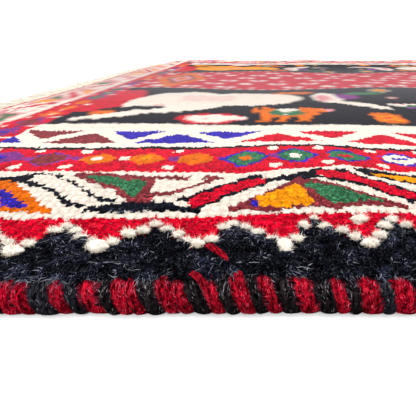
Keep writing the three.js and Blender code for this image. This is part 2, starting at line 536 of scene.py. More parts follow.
def ridged(start, height, distance, strength=1.0):
    return start.add("Bump", {}, {"Strength": strength, "Distance": distance, "Height": height})


def knot_backs(start):
    """Nodes of the knots in rows, each two humps wide, with painted shade darkening the hollows between the
    humps and the lines of weft between the rows.
    """
    spot = start.add("UVMap", {"uv_map": "OFBake"})
    knots = start.add("VectorMath", {"operation": "MULTIPLY"}, {0: spot, 1: (KNOTS_LONG, KNOTS_ACROSS, 1)})
    hump = start.sum("ABSOLUTE", start.sum("SINE", part(start, knots, 0) * math.pi))
    pair = start.sum("ABSOLUTE", start.sum("SINE", part(start, knots, 1) * 2 * math.pi))
    grain = speckle(start, place_on(start), 1400.0)
    height = start.sum("POWER", hump, 0.5) * (0.5 + 0.5 * pair) + 0.25 * grain
    # Painted shade: the knot's dye darker where its humps are low
    colour = dye(start, 0.42, 0.40, 0.38).mixed(start.sum("MINIMUM", 0.25 + height * 0.75, 1.0), dye(start))
    return colour, 0.86 + 0.1 * grain, ridged(start, height, 0.0006)


foundation.data.materials.clear()
foundation.data.materials.append(wool_material("knot_backs", knot_backs))


# PILE
# Cut wool pile, 10 mm high with the cloth, one tuft to each knot. The tufts lean towards the near long side,
# stand in lumps where the yarn is thick, and flop over the bound sides at the rim. Each is knotted round a
# pair of warps.
PILE_HEIGHT = 0.010
# Low swells as on the solid: height, place of a crest and spread each way
SWELLS = ((0.0013, -0.368, -0.340, 0.040, 0.075), (0.0004, 0.120, 0.090, 0.090, 0.060))
RIM_DROP = 0.0016
RIM_WIDTH = 0.004
SIDE_FLOP = 0.0009
SIDE_REACH = 0.95
TEETH_DEPTH = 8
ivory_knots = chart == IVORY
tuft_rise = dice.uniform(-0.00022, 0.00022, chart.shape) + 0.00015 * ivory_knots
tuft_shade = dice.uniform(0.80, 1.16, chart.shape)
tuft_shade[ivory_knots] = dice.uniform(0.97, 1.03, ivory_knots.sum())

# How far the pattern's lines wander off straight rows where the wefts were beaten down unevenly: knots away
# from the near side, at columns along the rug for each of some rows
WANDER_COLUMNS = (0, 25, 35, 45, 52, 60, 66, 73, 80, 100)
WANDER_ROWS = (1.5, 6.5, 17, 25.5, 39, 60)
WANDER = (
    (0, 0, 0.4, 0.6, 0.7, 0.6, 0.4, 0.9, 0.7, 0),
    (0, -0.1, -0.2, -0.4, -0.7, -0.7, -0.3, -0.1, -0.3, 0),
    (0, 1.0, 0.9, 0.4, -0.3, -1.2, -0.1, 1.2, -0.4, 0),
    (0, 1.0, 0.9, 0.6, 0.1, 0.2, 0.8, 0.9, -0.5, 0),
    (0, 1.5, 1.7, 0.9, -0.1, -0.9, -0.9, -0.4, 0.2, 0),
    (0, 0, 0, 0, 0, 0, 0, 0, 0, 0),
)


def swell_at(x, y):
    """Rise of the pile's face over its middle height, as on the solid."""
    rise = 0.0
    for height, crest_x, crest_y, spread_x, spread_y in SWELLS:
        rise = rise + height * np.cos((x - MIDDLE_X - crest_x) / spread_x) * np.cos((y - crest_y) / spread_y)
    return rise


def pile_face(along, across):
    """Height of the pile's face without its tufts, rounded down at the ends and flopping over the sides."""
    x, y = on_cloth(along, across)
    from_rim = np.minimum(along, KNOTS_LONG - along) * KNOT_LENGTH
    past = np.clip(np.maximum(-across, across - KNOTS_ACROSS) / SIDE_REACH, 0, 1.2)
    drop = RIM_DROP * np.clip(1 - from_rim / RIM_WIDTH, 0, 1) ** 2 + SIDE_FLOP * past * past
    return PILE_HEIGHT + swell_at(x, y) - drop


def wandered(along, across):
    """How far the pattern has slid along the rug and across it at a spot, in knots."""
    slide = np.interp(across, (0, 6, 17, 36, 60), (0, -0.3, -0.7, -0.7, 0))
    slide = slide * np.interp(along, (0, 20, 90, 110), (0, 1, 1, 0))
    lines = np.stack([np.interp(along, WANDER_COLUMNS, line) for line in WANDER])
    spot = np.interp(across, WANDER_ROWS, np.arange(len(WANDER_ROWS)))
    low = np.minimum(np.floor(spot).astype(int), len(WANDER_ROWS) - 2)
    number = np.arange(len(along))
    rise = lines[low, number] * (1 - spot + low) + lines[low + 1, number] * (spot - low)
    return slide, rise


def strayed(along, across):
    """Where the tuft that shows at a spot is charted: the pattern wanders, tufts stray a little from their
    knots, and each leans with its round end over the row before it."""
    slide, rise = wandered(along, across)
    stray = 0.14 * uneven(along * 2.3, across * 2.3) + 0.16 * uneven(along * 0.9 + 40, across * 0.9)
    lift = 0.14 * uneven(along * 1.9 + 70, across * 1.2) + 0.14 * uneven(along * 0.8, across * 0.8 + 30)
    i = along + stray - slide
    round_end = 0.42 * (1 - (2 * (i % 1) - 1) ** 2) - 0.28
    return i, across + lift - rise + round_end


def in_knot(place):
    """A place drawn towards the middle of its knot, which is tied in one yarn."""
    return np.floor(place) + 0.5 + 0.82 * (place % 1 - 0.5)


# Columns where the teeth's white knots are thick round tufts
BALLS_FROM = 37
BALLS_TO = 81


def tuft_at(along, across):
    """Strayed place, knot and yarn letter of the tuft that shows at a spot."""
    i, j = strayed(along, across)
    rows, columns = knot_at(i, j)
    letters = chart[rows, columns]
    balls = (rows == edge[columns]) & (columns >= BALLS_FROM) & (columns < BALLS_TO)
    letters[balls] = np.where(j % 1 < 0.62, BLACK, CRIMSON)[balls]
    inward = inward_of(j)
    border = (inward >= RIBBON_IN) & (inward < FIELD_IN) & (np.minimum(i, KNOTS_LONG - i) > END_FIELD_IN)
    letters[border] = border_letters(in_knot(i[border]), in_knot(j[border]))
    return i, j, rows, columns, letters


def black_lump(along, across):
    """Clumps that the long soft black tufts of the teeth stand in, from -1 to 1."""
    broad = 0.6 * uneven(along * 0.36 + 3, across * 0.5 + 20)
    return broad + 0.6 * uneven(along * 0.9 + 9, across * 1.2) + 0.9 * uneven(along * 2.0, across * 2.2 + 11)


def domed(i, j):
    """Rise of a tuft over its knot, from 0 round it to 1 at its middle."""
    return (1 - (2 * (i % 1) - 1) ** 2) * (1 - (2 * (j % 1) - 1) ** 2)


def tuft_height(along, across):
    """Rise of a tuft over the pile's face, domed over its knot."""
    i, j, rows, columns, letters = tuft_at(along, across)
    lump = 0.00022 * uneven(along * 1.7 + 9, across * 1.7) + 0.00035 * uneven(along * 0.45, across * 0.5 + 11)
    black = (letters == BLACK) & (across < TEETH_DEPTH)
    rise = tuft_rise[rows, columns] + 0.00042 * (domed(i, j) - 0.4)
    return rise + np.where(black, 0.0006 * black_lump(along, across), lump * 0.8)


# How far the fibres of each yarn differ in tone, in the order of the yarns
FIBRE_SPREAD = np.array((0.03, 0.60, 0.46, 0.42, 0.42, 0.24, 0.18, 0.46, 0.2, 0.3))
# Pale grey of the painted sheen that hazes the pile towards the middle of the rug
SHEEN_HAZE_TONE = (0.250, 0.240, 0.255)


def pile_dye_with_painted_light(along, across):
    """Dye of the tuft that shows at a spot, its fibres lighter and darker, with painted shade in the teeth's
    hollows, round each tuft and towards the middle, painted light on the teeth's crests, and a painted sheen
    paling the pile towards the middle.
    """
    i, j, rows, columns, letters = tuft_at(along, across)
    inward = inward_of(across)
    teeth = (letters == BLACK) & (inward < TEETH_DEPTH)
    # Painted light and shade: the black teeth lighter on their clumps' crests, darker in the hollows between
    # them
    shade = tuft_shade[rows, columns] * np.where(teeth, np.exp(1.7 * black_lump(along, across) - 0.7), 1)
    spread = FIBRE_SPREAD[letters] * np.interp(inward, (9, 22, 40), (1, 0.5, 0.3))
    shade = shade * dice.lognormal(0, np.where(teeth, 0.6, spread))
    # Painted shade: each tuft lighter at its middle, darker round its edges
    tuft_edge_shade = np.interp(inward, (10, 22, 34), (0.34, 0.10, 0)) * (domed(i, j) - 0.44)
    # Painted shade: the pile darker towards the middle of the rug, as the light falls off, and darker round
    # each tuft
    pile_falloff_shade = np.interp(inward, (6, 20, 42, 62, 90), (1, 0.90, 0.86, 0.80, 0.72)) * (1 + tuft_edge_shade)
    # Painted sheen: the pile paler towards the middle, mixed with a pale grey haze
    sheen_haze = np.interp(inward, (8, 20, 42, 60, 86), (0, 0.04, 0.075, 0.12, 0.22))[:, None]
    return DYES[letters] * (shade * pile_falloff_shade)[:, None] * (1 - sheen_haze) + sheen_haze * np.array(SHEEN_HAZE_TONE)


DROOP_AT = 50.3
DROOP_SPREAD = 3.0


def droop(along):
    """Share of a stretch of the near side where the pile hangs lower over the bound edge."""
    return np.exp(-((along - DROOP_AT) / DROOP_SPREAD) ** 2)


def rim_bottom(along):
    return 0.0090 - 0.0005 * uneven(along * 1.1, 15) - 0.0008 * droop(along)


def pile_place(along, across, strength=1.0):
    """Place of a tuft's end on the pile's face; past the cloth the tufts flop over the bound sides."""
    past = np.maximum(-across, across - KNOTS_ACROSS)
    flop = np.maximum(past, 0) * (0.04 + 0.34 * uneven(along * 0.9, 5) + 0.24 * droop(along))
    spot = across + np.where(across < 0, -flop, flop)
    x, y = on_cloth(along + 0.12 * uneven(along * 3.1, across * 3.1), spot)
    return x, y, pile_face(along, across) + strength * tuft_height(along, across)


def wool_mesh(name, points, faces, dyes, cells, twist=None):
    """A piece from arrays. The dyes are shared out evenly over the corners of the faces, in order."""
    mesh = bpy.data.meshes.new(name)
    mesh.vertices.add(len(points))
    mesh.vertices.foreach_set("co", points.astype(np.float32).ravel())
    count, sides = faces.shape
    mesh.loops.add(count * sides)
    mesh.loops.foreach_set("vertex_index", faces.astype(np.int32).ravel())
    mesh.polygons.add(count)
    mesh.polygons.foreach_set("loop_start", np.arange(0, count * sides, sides, dtype=np.int32))
    mesh.update(calc_edges=True)
    baking = mesh.uv_layers.new(name="OFBake")
    baking.data.foreach_set("uv", cells.astype(np.float32).ravel())
    if twist is not None:
        mesh.uv_layers.new(name="twist").data.foreach_set("uv", twist.astype(np.float32).ravel())
    yarn = mesh.color_attributes.new(name="yarn", type="FLOAT_COLOR", domain="CORNER")
    paint = np.ones((count * sides, 4), np.float32)
    dyes = dyes.reshape(-1, 3)
    paint[:, :3] = np.repeat(dyes, len(paint) // len(dyes), axis=0)
    yarn.data.foreach_set("color", paint.ravel())
    mesh.polygons.foreach_set("use_smooth", np.ones(count, bool))
    mesh.update()
    piece = bpy.data.objects.new(name, mesh)
    bpy.context.collection.objects.link(piece)
    return piece


def grid_faces(across_count, along_count):
    """Faces of a grid of points that is stored one line along the rug after another."""
    numbers = np.arange(across_count * along_count).reshape(across_count, along_count)
    corners = [numbers[:-1, :-1], numbers[:-1, 1:], numbers[1:, 1:], numbers[1:, :-1]]
    return np.stack(corners, -1).reshape(-1, 4)


def pile_field(first, last, low, high, steps, mingled=False):
    """Points, faces, dyes and baking places of a stretch of pile, with a wall down to the cloth round it.
    Each knot has some steps each way, and with one alone the tufts show less."""
    u = np.linspace(first, last, (last - first) * steps + 1)
    v = np.linspace(low, high, round((high - low) * steps) + 1)
    u, v = np.meshgrid(np.pad(u, 1, "edge"), np.pad(v, 1, "edge"))
    shape = u.shape
    walls = np.ones(shape, bool)
    walls[1:-1, 1:-1] = False
    u, v, walls = u.ravel(), v.ravel(), walls.ravel()
    outside = (v < 0) | (v > KNOTS_ACROSS)
    x, y, z = pile_place(u, v, 1.0 if steps > 1 else 0.8)
    z[walls] = np.where(outside, rim_bottom(u), CLOTH_THICKNESS - 0.0002)[walls]
    faces = grid_faces(*shape)
    middle = np.stack([u, v], 1)[faces].mean(axis=1)
    dyes = pile_dye_with_painted_light(middle[:, 0], middle[:, 1])
    if mingled:
        # Tufts of the worn pile in the field mingle a little with their neighbours
        cloth = np.pad(dyes.reshape(shape[0] - 1, shape[1] - 1, 3), ((1, 1), (1, 1), (0, 0)), "edge")
        cloth = (cloth[1:, 1:] + cloth[1:, :-1] + cloth[:-1, 1:] + cloth[:-1, :-1]) / 4
        dyes = cloth.reshape(-1, 3)[faces]
    else:
        dyes = np.repeat(dyes[:, None, :], 4, axis=1)
    cells = np.stack(np.meshgrid(np.linspace(0, 1, shape[1]), np.linspace(0, 1, shape[0])), -1).reshape(-1, 2)
    return np.stack([x, y, z], 1), faces, dyes, cells[faces]


def pile_piece(name, *stretches):
    """One piece from stretches of pile, each behind its room (left, bottom, width, height) for baking."""
    parts, count = [], 0
    for room, *stretch in stretches:
        points, faces, dyes, cells = pile_field(*stretch)
        parts.append((points, faces + count, dyes, cells * room[2:] + room[:2]))
        count += len(points)
    return wool_mesh(name, *(np.concatenate(arrays) for arrays in zip(*parts)))


# The photographed stretch of the near side has the finest steps, the field behind it coarser ones, and the
# rest of the rug one step to a knot
FINE_FROM, FINE_TO, FINE_DEEP = 29, 84, 20
BEHIND_FROM, BEHIND_TO, BEHIND_DEEP = 6, 98, 62
WORN_FROM = 38
near_pile = pile_piece("pile_near", ((0, 0, 1, 1), FINE_FROM, FINE_TO, -SIDE_REACH, FINE_DEEP, 5))
middle_pile = pile_piece(
    "pile_middle",
    ((0, 0, 1, 0.52), BEHIND_FROM, BEHIND_TO, FINE_DEEP, WORN_FROM, 3),
    ((0, 0.53, 1, 0.46), BEHIND_FROM, BEHIND_TO, WORN_FROM, BEHIND_DEEP, 2, True),
)
rest_pile = pile_piece(
    "pile_rest",
    ((0, 0, 1, 0.66), 0, KNOTS_LONG, BEHIND_DEEP, KNOTS_ACROSS + SIDE_REACH, 1, True),
    ((0, 0.67, 0.78, 0.19), BEHIND_TO, KNOTS_LONG, FINE_DEEP, BEHIND_DEEP, 1),
    ((0, 0.87, 0.78, 0.12), FINE_TO, KNOTS_LONG, -SIDE_REACH, FINE_DEEP, 1),
    ((0.8, 0.67, 0.1, 0.1), 0, FINE_FROM, -SIDE_REACH, FINE_DEEP, 1),
    ((0.8, 0.80, 0.1, 0.19), 0, BEHIND_FROM, FINE_DEEP, BEHIND_DEEP, 1),
)


def ranged(start, value, low, high, first=0.0, last=1.0):
    """A value brought from one range to another and held at its ends."""
    return start.add("MapRange", {}, {"Value": value, 1: low, 2: high, 3: first, 4: last})


def cut_pile(start):
    """Ends of the tufts: curly fibres drawn as painted highlights over soft lumps, painted shade in the
    hollows, flatter away from the side.
    """
    place = place_on(start)
    drawn = start.add("Mapping", {}, {"Vector": place, "Scale": (1.0, 0.45, 1.0)})
    fibre = speckle(start, drawn, 3000.0, 3.0)
    height = 0.6 * speckle(start, place, 700.0) + 0.4 * fibre
    loose = ranged(start, part(start, place, 1), -0.375, -0.31, 1.0, 0.25)
    curl = start.sum("ABSOLUTE", speckle(start, place, 1300.0, 1.0) - 0.5)
    patches = ranged(start, speckle(start, drawn, 2100.0, 1.0), 0.40, 0.62)
    curl = ranged(start, curl, 0.0, 0.035, 1.0, 0.0) * patches
    # Painted shade: the dye darker where the lumps are low, more so near the side
    dark = dye(start).mixed(0.75 * loose - 0.07, dye(start), "MULTIPLY").mixed(loose * 0.25, (0, 0, 0, 1))
    # Painted highlight: pale blue-grey lines of curly fibres
    light = dye(start, 1.3, 1.3, 1.3).mixed(1.0, (0.050, 0.052, 0.066, 1), "ADD")
    colour = dark.mixed(ranged(start, height, 0.30, 0.68), dye(start)).mixed(curl * loose, light)
    height = height * (0.4 + 0.6 * loose) + 0.25 * curl * loose
    return colour, 0.84 + 0.12 * fibre, ridged(start, height, 0.0009)


pile_wool = wool_material("cut_pile", cut_pile)
for piece in (near_pile, middle_pile, rest_pile):
    piece.data.materials.append(pile_wool)
for piece in (foundation, near_pile, middle_pile, rest_pile):
    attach(piece, "root")
    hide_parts("rug_body")


# NAP
# Loose ends of the wool that stand out of the pile: curls over the black and white teeth of the near side,
# short fine ends over the borders behind them, and in the photographed stretch a thick ball for each white
# knot of the teeth. They are part of the tufts, and nothing else holds them.
def one_long(vectors):
    """Each vector made one unit long."""
    return vectors / np.linalg.norm(vectors, axis=-1, keepdims=True)


def many_faces(count, each, faces):
    """Faces of many like things, each with as many points, stored one after another."""
    return (np.arange(count)[:, None, None] * each + faces).reshape(-1, faces.shape[1])


def many_cells(count, spots):
    """Baking places of many like things, each in a cell of its own."""
    wide = math.ceil(math.sqrt(count))
    cell = np.stack([np.arange(count) % wide, np.arange(count) // wide], 1)
    return (cell[:, None, None] + spots) / wide


TRIANGLE = np.array(((0.08, 0.08), (0.92, 0.08), (0.5, 0.92)))
FLOOR_CLEARANCE = 0.0004


def hairs(name, roots, way, bend, length, width, dyes, curled=True):
    """Many thin ribbons as one piece, two parts long where curled and one where not."""
    up = one_long(np.array((0, 0, 1.0)) + dice.normal(0, 0.45, roots.shape))
    side = one_long(np.cross(way, up)) * (width / 2)[:, None]
    reach = length[:, None]
    tip = roots + way * reach + bend * reach
    if curled:
        knee = roots + way * reach * 0.5 + bend * reach * 0.25
        points = np.stack([roots - side, roots + side, knee - side * 0.8, knee + side * 0.8, tip], 1)
        corners = np.array([(0, 1, 3), (0, 3, 2), (2, 3, 4)])
        spots = np.array([(0.1, 0.1), (0.9, 0.1), (0.15, 0.5), (0.85, 0.5), (0.5, 0.92)])
    else:
        points = np.stack([roots - side, roots + side, tip], 1)
        corners = np.array([(0, 1, 2)])
        spots = TRIANGLE
    points[..., 2] = np.maximum(points[..., 2], FLOOR_CLEARANCE)
    faces = many_faces(len(roots), points.shape[1], corners)
    return wool_mesh(name, points.reshape(-1, 3), faces, dyes, many_cells(len(roots), spots[corners]))


FAN_MIDDLE = 58


def scattered(count, low, high):
    """Random spots on the near side's pile, in a fan that widens inwards, half of them near its middle."""
    v = dice.uniform(low, high, count)
    evenly, share = dice.random(count) < 0.5, dice.uniform(-1, 1, count)
    share = np.where(evenly, share, np.clip(dice.normal(0, 0.5, count), -1, 1))
    return FAN_MIDDLE + (20 + 0.75 * v) * share, v


RIM_FRONT = 0.6
GLINTS = ((0.70, (0.024, 0.027, 0.041)), (0.88, (0.125, 0.132, 0.160)), (0.975, (0.33, 0.34, 0.40)))


def nap(name, u, v, length, width, rise, spread, curled):
    """Hairs rooted in the pile at given spots; they lean to the near side and take their tuft's dye, with
    painted glints on some and painted light and shade on the black teeth's clumps.
    """
    count = len(u)
    below = np.clip((-SIDE_REACH - v) / RIM_FRONT, 0, 1)
    v = np.maximum(v, -SIDE_REACH)
    x, y, z = pile_place(u, v)
    z = z - 0.00030 - below * (z - 0.0003 - rim_bottom(u))
    y = y - 0.0002 * below
    rows, columns, letters = tuft_at(u, v)[2:]
    heading = -math.pi / 2 + dice.normal(0, spread, count)
    climb = dice.normal(rise, 0.28, count)
    way = np.stack([np.cos(heading) * np.cos(climb), np.sin(heading) * np.cos(climb), np.sin(climb)], 1)
    bend = dice.normal(0, 0.45, (count, 3))
    bend[:, 2] = bend[:, 2] * 0.4 - 0.45
    dyes = DYES[letters] * dice.lognormal(-0.05, 0.60, (count, 1)) * tuft_shade[rows, columns][:, None]
    black, ivory = letters == BLACK, letters == IVORY
    length = length * np.where(ivory, 0.3, np.where(black & (v > TEETH_DEPTH), 0.6, 1.0))
    # Painted glints, more of them on the clumps' crests
    glint = dice.random(count) + np.where(black, 0.10 * np.clip(black_lump(u, v), -2, 1), 0)
    dyes[ivory] = np.array((0.60, 0.54, 0.47)) * dice.uniform(0.86, 1.06, (ivory.sum(), 1))
    dyes[black] *= 0.45
    for over, tone in GLINTS:
        dyes[black & (glint > over)] = tone
    # Painted light and shade: black hairs lighter on the clumps' crests, darker in their hollows
    crest = np.where(black & (v < TEETH_DEPTH), np.exp(1.8 * black_lump(u, v) - 0.25), 1)
    dyes[black] = np.minimum(dyes[black] * crest[black, None], (0.34, 0.35, 0.41))
    # Painted glints on a few hairs of the other yarns
    pale = ~ivory & ~black & (glint > 0.975)
    dyes[pale] = dyes[pale] * 0.5 + 0.16
    return hairs(name, np.stack([x, y, z], 1), way, bend, length, width, dyes, curled)


CURLS = 62000
u, v = scattered(CURLS, -SIDE_REACH - RIM_FRONT, 6.2)
curl_length = np.minimum(0.0009 * dice.lognormal(0, 0.5, CURLS), 0.0035)
rim_nap = nap("nap_teeth", u, v, curl_length, dice.uniform(0.00008, 0.00014, CURLS), 0.65, 1.2, True)
FINE = 84000
near_u, near_v = scattered(54000, 3.5, 17.5)
far_u, far_v = scattered(30000, 17, 34)
u, v = np.concatenate([near_u, far_u]), np.concatenate([near_v, far_v])
fine_length = dice.uniform(0.0009, 0.0022, FINE)
fine_nap = nap("nap_borders", u, v, fine_length, dice.uniform(0.00014, 0.00026, FINE), 0.45, 0.6, False)


# White tufts of the teeth: thick yarn that swells into a ball over the black beside it. Half sizes in
# millimetres of the large ones at the teeth's feet, by their columns
FEET = {
    42: (2.7, 2.0, 1.5),
    49: (2.9, 2.2, 1.8),
    57: (1.7, 1.4, 1.2),
    64: (1.9, 2.8, 1.7),
    71: (2.3, 1.4, 1.3),
    78: (2.2, 1.4, 1.2),
}
bpy.ops.mesh.primitive_ico_sphere_add(subdivisions=3, radius=1)
ball = bpy.context.object
ball_points = np.array([v.co for v in ball.data.vertices])
ball_faces = np.array([f.vertices for f in ball.data.polygons])
bpy.data.objects.remove(ball)
tooth_columns = np.append(np.arange(BALLS_FROM, BALLS_TO), LONE_COLUMN)
tooth_rows = np.append(edge[BALLS_FROM:BALLS_TO], LONE_ROW)
at_foot = np.isin(tooth_columns, list(FEET))
falling = edge[tooth_columns + 1] < tooth_rows
TUFTS = len(tooth_columns)
u = tooth_columns + 0.5 + dice.normal(0, 0.10, TUFTS)
v = tooth_rows + 0.45 + dice.normal(0, 0.10, TUFTS) - np.where(at_foot, 0.05, 0)
slide, rise = wandered(u, v)
u, v = u + slide, v + rise
tuft_middles = np.stack([*on_cloth(u, v), pile_face(u, v) + 0.00025 + dice.normal(0, 0.00010, TUFTS)], 1)
size = np.array((0.0019, 0.0013, 0.0009)) * dice.uniform(0.72, 1.20, (TUFTS, 3))
size = size * np.where(falling, 0.9, 1.0)[:, None]
size[at_foot] = np.array([FEET[place] for place in tooth_columns[at_foot]]) / 1000
ball_x, ball_y, ball_z = ball_points.T[:, None]
bumps = 0.26 * uneven(ball_x * 1.9 + u[:, None] * 7, ball_y * 1.9 + ball_z)
bumps = bumps + 0.17 * uneven(ball_x * 5.3 + u[:, None] * 3, ball_y * 5.3 + ball_z * 4)
bumps = 1 + bumps * np.where(at_foot, 0.55, 1.0)[:, None]
tuft_points = ball_points * bumps[..., None] * size[:, None]
tuft_points[..., 0] *= 1 + np.where(at_foot, 0.38, 0.12)[:, None] * ball_y
tuft_points += tuft_middles[:, None]


def lit(places):
    """Painted light and shade on a tuft's round end: from 0, in shade low behind it, to 1, lit high on it."""
    return np.clip(0.80 + 0.60 * places[:, 2:] + 0.30 * places[:, 1:2], 0, 1)


# Ivory balls yellower low down, partly the yarn's own colour and partly painted shade, with painted light on
# top
tuft_tint_and_shade = np.array((0.40, 0.30, 0.18)) + lit(ball_points) * (0.33, 0.39, 0.44)
faces = many_faces(TUFTS, len(ball_points), ball_faces)
tint = np.tile(tuft_tint_and_shade[ball_faces], (TUFTS, 1, 1))
cells = many_cells(len(faces), TRIANGLE)
tooth_tufts = wool_mesh("teeth_tufts", tuft_points.reshape(-1, 3), faces, tint, cells)
tooth_tufts.data.materials.append(pile_wool)

# Short ends all over those balls
EACH = 240
SHORT_ENDS = TUFTS * EACH
out = one_long(dice.normal(0, 1, (SHORT_ENDS, 3)) + np.array((0, -0.3, 0.9)))
roots = np.repeat(tuft_middles, EACH, axis=0) + out * np.repeat(size, EACH, axis=0) * 0.93
way = one_long(out + dice.normal(0, 0.55, out.shape) + (0, -0.25, 0))
# The short ends take the same painted shade low and behind and painted light on top
fluff_dye_and_shade = np.array((0.40, 0.28, 0.15)) * (1 - lit(out)) + np.array((0.86, 0.81, 0.73)) * lit(out)
fluff_dye_and_shade = fluff_dye_and_shade * dice.uniform(0.60, 1.20, (SHORT_ENDS, 1))
bend = dice.normal(0, 0.35, way.shape)
length = dice.uniform(0.0004, 0.0013, SHORT_ENDS)
width = dice.uniform(0.00007, 0.00014, SHORT_ENDS)
fluff = hairs("teeth_fluff", roots, way, bend, length, width, fluff_dye_and_shade)


def loose_fibre(start):
    """Single fibres, a little uneven in tone along their length."""
    grain = speckle(start, place_on(start), 2500.0)
    colour = dye(start, 0.7, 0.68, 0.66).mixed(grain, dye(start))
    return colour, 0.72 + 0.2 * grain, ridged(start, grain, 0.0001, 0.3)


fibre_wool = wool_material("loose_fibre", loose_fibre)
for piece in (rim_nap, fine_nap, fluff):
    piece.data.materials.append(fibre_wool)
for piece in (rim_nap, fine_nap, tooth_tufts, fluff):
    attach(piece, "root")


# OVERCAST SIDES
# The outer warps of each long side bound with thick wool yarn, a crimson wrap and a charcoal one by turns,
# one strand or two side by side that slant over the edge. Wound by hand through the cloth's edge, so they
# vary in width.
SIDE_WIDTH = 0.0080
SIDE_HEIGHT = 0.0096
RED_WRAP = (0.150, 0.0008, 0.0060)
CHARCOAL_WRAP = (0.0034, 0.0027, 0.0029)
STRAND_WIDTH = 0.0036
TURN_FROM = -1.62
TURN_TO = 1.60
SQUARE = np.array(((0, 0), (1, 0), (1, 1), (0, 1)))


def tube(steps, sides):
    """Faces of a closed tube of rings of points, its walls and then its two lids, and the places of the
    walls' corners round it and along it."""
    step, spoke = np.meshgrid(np.arange(steps - 1), np.arange(sides), indexing="ij")
    corners = np.stack([spoke, step], -1).reshape(-1, 1, 2) + SQUARE
    walls = corners[..., 1] * sides + corners[..., 0] % sides
    lid = np.array([(i, sides - 1 - i, sides - 2 - i, i + 1) for i in range(sides // 2 - 1)])
    return np.concatenate([walls, lid, (steps - 1) * sides + lid[:, ::-1]]), corners / (sides, steps - 1)


def framed(lines, away):
    """Directions along some lines, across them and away from what they lie on, from a rough way away."""
    flow = one_long(np.gradient(lines, axis=1))
    across = one_long(np.cross(flow, away))
    return flow, across, np.cross(across, flow)


def swept(name, lines, across, outward, wide, thick, sides, dyes, turns, groove=0.0):
    """Yarns as one piece: each follows its line with an oval section that its plies groove."""
    count, steps = lines.shape[:2]
    angle = np.arange(sides) * 2 * math.pi / sides
    ply_turn = 3 * angle + np.arange(steps)[:, None] * 0.30 + np.arange(count)[:, None, None] * 2.4
    plump = 1 + groove * np.cos(ply_turn)
    ring = across[:, :, None] * (np.cos(angle) * wide[..., None] * plump)[..., None]
    ring = ring + outward[:, :, None] * (np.sin(angle) * thick[..., None] * plump)[..., None]
    points = (lines[:, :, None] + ring).reshape(-1, 3)
    points[:, 2] = np.maximum(points[:, 2], 0.0002)
    each, spots = tube(steps, sides)
    lids = np.broadcast_to(SQUARE * (0.1, 0.02), (len(each) - len(spots), 4, 2))
    around = np.concatenate([spots, lids])
    twist = np.arange(count)[:, None, None, None] * (3.0, 7.0) + around * (1.0, turns)
    faces = many_faces(count, steps * sides, each)
    return wool_mesh(name, points, faces, dyes, many_cells(count, 0.06 + 0.88 * around), twist)


def side_place(side, along, turn, sunk=0.0, lift=0.0):
    """A spot on a bound side, 0 for the near one, 1 for the far one; turn runs from under it to its top."""
    edge_x, edge_y = on_cloth(along, side * KNOTS_ACROSS)
    lip = KNOTS_ACROSS + SIDE_REACH if side else -SIDE_REACH
    half = np.minimum(SIDE_HEIGHT, pile_face(along, lip) - 0.0001) / 2
    under = turn < 0
    bulged = lambda wave, power: np.sign(wave) * np.abs(wave) ** power
    out = bulged(np.cos(turn), np.where(under, 0.55, 0.5))
    up = bulged(np.sin(turn), np.where(under, 0.5, 0.65))
    y = edge_y + (2 * side - 1) * (SIDE_WIDTH - sunk + lift) * out
    level = half + np.where(under, half - 0.35 * sunk, half - sunk) * up
    return np.stack([edge_x + 0 * turn, y, level], -1)


def wraps(name, side, start, widths, sides, steps, seed):
    """The wraps of a stretch of one long side, a red one first, a broad one of two strands side by side."""
    strands = np.maximum(np.round(widths / STRAND_WIDTH).astype(int), 1)
    wrap = np.repeat(np.arange(len(widths)), strands)
    strand = np.arange(len(wrap)) - (np.cumsum(strands) - strands)[wrap]
    number = wrap + 0.37 * strand
    red = wrap % 2 == 0
    wide = widths[wrap] / strands[wrap]
    middle = start + (np.cumsum(widths) - widths / 2)[wrap] + (strand - (strands[wrap] - 1) / 2) * wide
    slant = 0.0015 + 0.0004 * uneven(wrap * 0.4, 8 + seed) + 0.0006 * np.clip((middle - 0.19) / 0.03, -1, 1)
    turn = np.linspace(TURN_FROM, TURN_TO, steps)[None] + 0 * middle[:, None]
    sway = 0.00030 * uneven(turn * 1.4 + number[:, None] * 3.1, number[:, None])
    along = (middle[:, None] - slant[:, None] * np.sin(turn) + sway) / KNOT_LENGTH
    deep = np.minimum(0.62 * wide + 0.0001, np.where(red, 0.0019, 0.0015))
    lift = 0.00020 * uneven(wrap * 0.9, 20 + seed) + 0.0002 * uneven(number * 2.7, seed)
    deep = deep[:, None] * np.interp(turn, (TURN_FROM, -0.9, -0.3), (0.35, 0.5, 1.0))
    lines = side_place(side, along, turn, deep, lift[:, None])
    away = np.stack([0 * turn, (2 * side - 1) * np.cos(turn), np.sin(turn)], -1)
    flow, across, away = framed(lines, away)
    swelling = 1 + 0.12 * uneven(turn * 2.1 + number[:, None] * 5.3, number[:, None])
    spread = np.interp(turn, (TURN_FROM, -1.0, -0.4), (1.22, 1.16, 1.0))
    dyes = np.where(red[:, None], RED_WRAP, CHARCOAL_WRAP) * dice.uniform(0.72, 1.2, (len(wrap), 1))
    bluish = ~red & (dice.random(len(wrap)) > 0.75)
    dyes[bluish] = np.array((0.0050, 0.0060, 0.0082)) * dice.uniform(0.8, 1.3, (bluish.sum(), 1))
    half = (0.51 * wide)[:, None] * swelling * spread
    deep = deep * swelling
    yarns = swept(name, lines, across, away, half, deep, sides, dyes, 2.0, 0.06)
    return yarns, (lines, flow, across, away, half, deep, dyes)


def plain_widths(first, last):
    """Widths of the wraps from one column to another, red and charcoal by turns."""
    count = 2 * round((last - first) * KNOT_LENGTH / 0.0075)
    widths = np.where(np.arange(count) % 2, 0.0033, 0.0042) * dice.uniform(0.8, 1.2, count)
    return widths * (last - first) * KNOT_LENGTH / widths.sum()


